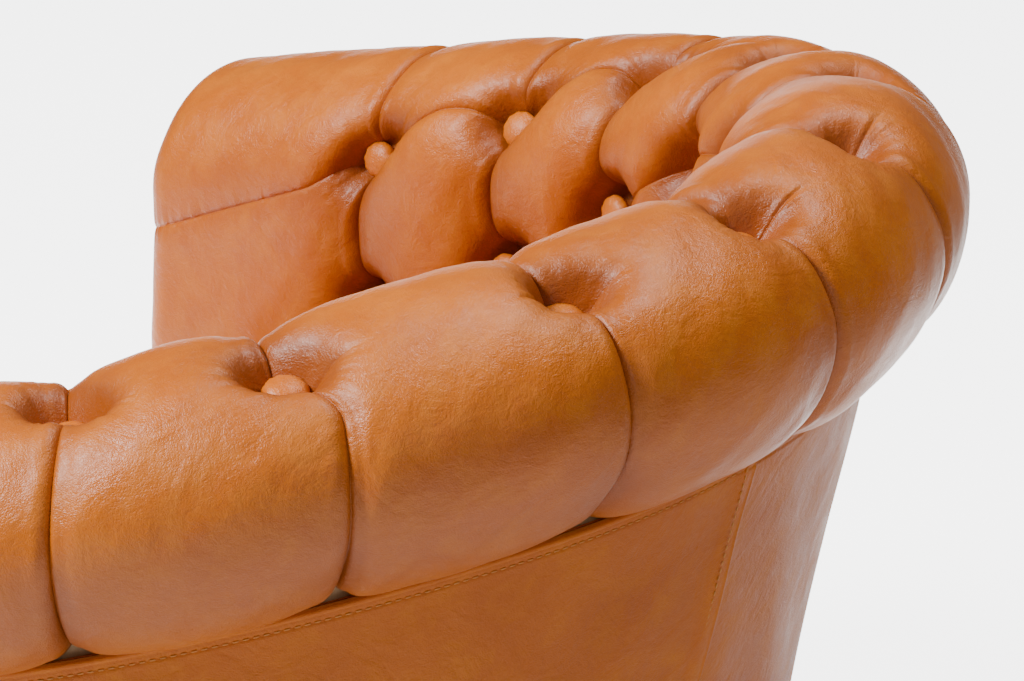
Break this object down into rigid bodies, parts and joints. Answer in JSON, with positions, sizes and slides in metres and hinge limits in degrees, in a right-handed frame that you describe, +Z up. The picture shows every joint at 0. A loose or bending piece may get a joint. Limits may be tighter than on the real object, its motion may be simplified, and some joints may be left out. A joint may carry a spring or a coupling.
{
  "type": "upholstered armchair",
  "caption": "Tub armchair with a deep-buttoned rolled back and arms in tan leather, raked outside panels, a loose seat cushion and short turned legs.",
  "frame": {"origin": "on the floor below the middle of the chair's box", "axes": "+Z up; the chair faces -Y; X runs across it, from arm to arm"},
  "size_m": [0.944, 0.8, 0.7698],
  "materials": {
    "leather_padding": "glazed tan leather over foam, semi-gloss",
    "leather_panel": "glazed tan leather, semi-gloss",
    "leather_button": "glazed tan leather pulled over a button mould",
    "foam": "open-cell foam",
    "twine": "waxed upholstery twine",
    "frame_wood": "bare planed hardwood",
    "leg_wood": "dark stained, satin",
    "zinc_steel": "zinc plated",
    "spring_steel": "oiled spring wire",
    "nylon": "moulded nylon",
    "webbing": "jute webbing",
    "deck_cloth": "black cloth"
  },
  "bodies": {
    "chair": {"arm_front_left": "leather_padding", "arm_front_right": "leather_padding", "button_ties_lower": "twine", "button_ties_top": "twine", "buttons_second_row": "leather_button", "buttons_third_row": "leather_button", "buttons_top_row": "leather_button", "corner_block_back_left": "frame_wood", "corner_block_back_right": "frame_wood", "corner_block_front_left": "frame_wood", "corner_block_front_right": "frame_wood", "dust_cover": "deck_cloth", "front_border": "leather_padding", "glides": "nylon", "inside_pad_arm_left": "leather_padding", "inside_pad_arm_right": "leather_padding", "inside_pad_back": "leather_padding", "inside_pad_corner_left": "leather_padding", "inside_pad_corner_right": "leather_padding", "leg_back_left": "leg_wood", "leg_back_right": "leg_wood", "leg_bolts": "zinc_steel", "leg_front_left": "leg_wood", "leg_front_right": "leg_wood", "outside_panel_left": "leather_panel", "outside_panel_right": "leather_panel", "post_arm_front_left": "frame_wood", "post_arm_front_right": "frame_wood", "post_arm_rear_left": "frame_wood", "post_arm_rear_right": "frame_wood", "post_back_left": "frame_wood", "post_back_right": "frame_wood", "roll_arm_left": "leather_padding", "roll_arm_right": "leather_padding", "roll_back": "leather_padding", "roll_corner_left": "leather_padding", "roll_corner_right": "leather_padding", "seat_deck": "deck_cloth", "seat_rail_back": "frame_wood", "seat_rail_front": "frame_wood", "seat_rail_left": "frame_wood", "seat_rail_right": "frame_wood", "spring_1": "spring_steel", "spring_2": "spring_steel", "spring_3": "spring_steel", "spring_4": "spring_steel", "spring_5": "spring_steel", "spring_clips": "spring_steel", "top_rail_back": "frame_wood", "top_rail_left": "frame_wood", "top_rail_right": "frame_wood", "webbing_inside": "webbing"},
    "cushion": {"cushion_band": "leather_panel", "cushion_bottom": "leather_panel", "cushion_core": "foam", "cushion_top": "leather_panel"}
  },
  "joints": [
    {"name": "cushion_lift", "type": "slide", "parent": "chair", "child": "cushion", "axis": [0, 0, 1], "range_m": [0, 0.15]}
  ]
}
